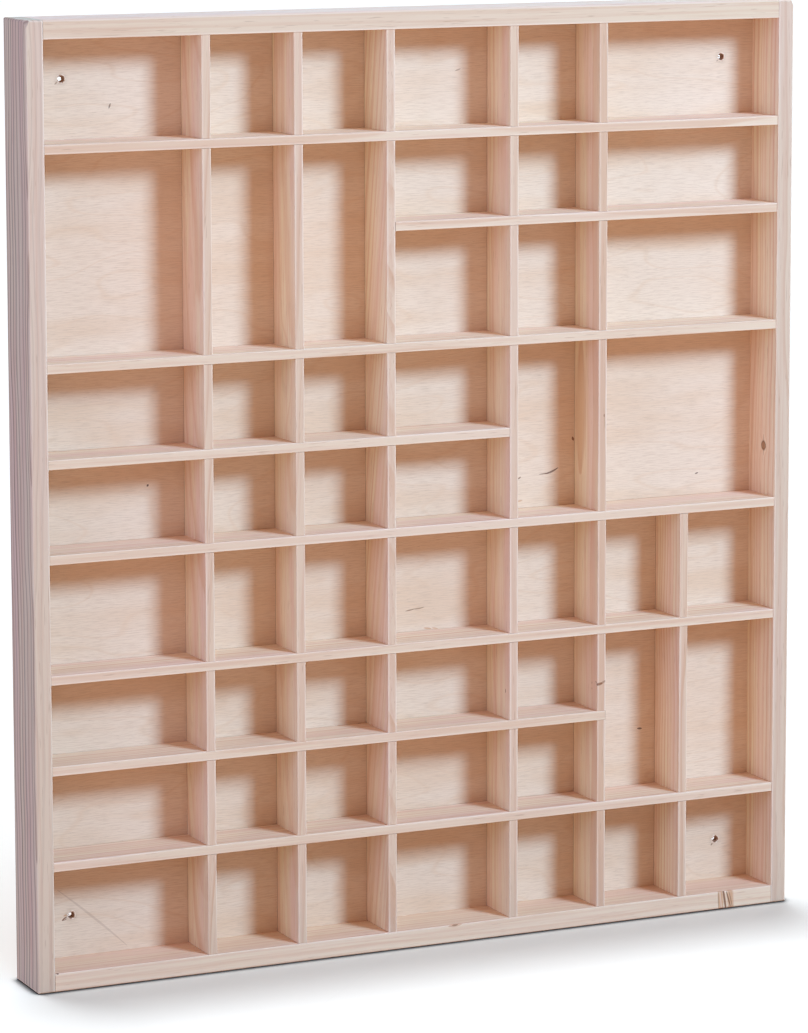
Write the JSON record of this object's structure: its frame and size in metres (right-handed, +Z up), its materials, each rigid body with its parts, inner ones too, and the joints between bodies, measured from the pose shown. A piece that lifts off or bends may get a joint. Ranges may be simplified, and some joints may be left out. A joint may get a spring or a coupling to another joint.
{
  "type": "letterpress type case",
  "caption": "Shallow open wooden type case that stands on its lower edge or hangs on a wall, with half-lapped shelves and uprights that divide it into small compartments over a plywood back.",
  "frame": {"origin": "middle of the case's footprint, on the surface that it stands on", "axes": "+X to the viewer's right as one faces the open front, +Y from the open front to the back panel, +Z up"},
  "size_m": [0.4, 0.03, 0.454],
  "materials": {
    "frame_pine": "planed and sanded, unfinished",
    "divider_pine": "planed and sanded, unfinished",
    "back_plywood": "sanded veneer, unfinished",
    "dowel_beech": "turned, unfinished",
    "pin_steel": "bright wire"
  },
  "bodies": {
    "root": {"left_side": "frame_pine", "right_side": "frame_pine", "top_rail": "frame_pine", "bottom_rail": "frame_pine", "back_panel": "back_plywood", "shelf_1": "divider_pine", "shelf_2": "divider_pine", "shelf_3": "divider_pine", "shelf_4": "divider_pine", "shelf_5": "divider_pine", "shelf_6": "divider_pine", "shelf_7": "divider_pine", "shelf_8": "divider_pine", "upright_1": "divider_pine", "upright_2": "divider_pine", "upright_3": "divider_pine", "upright_4": "divider_pine", "upright_5": "divider_pine", "upright_6": "divider_pine", "corner_dowels": "dowel_beech", "panel_pins": "pin_steel"}
  },
  "joints": []
}
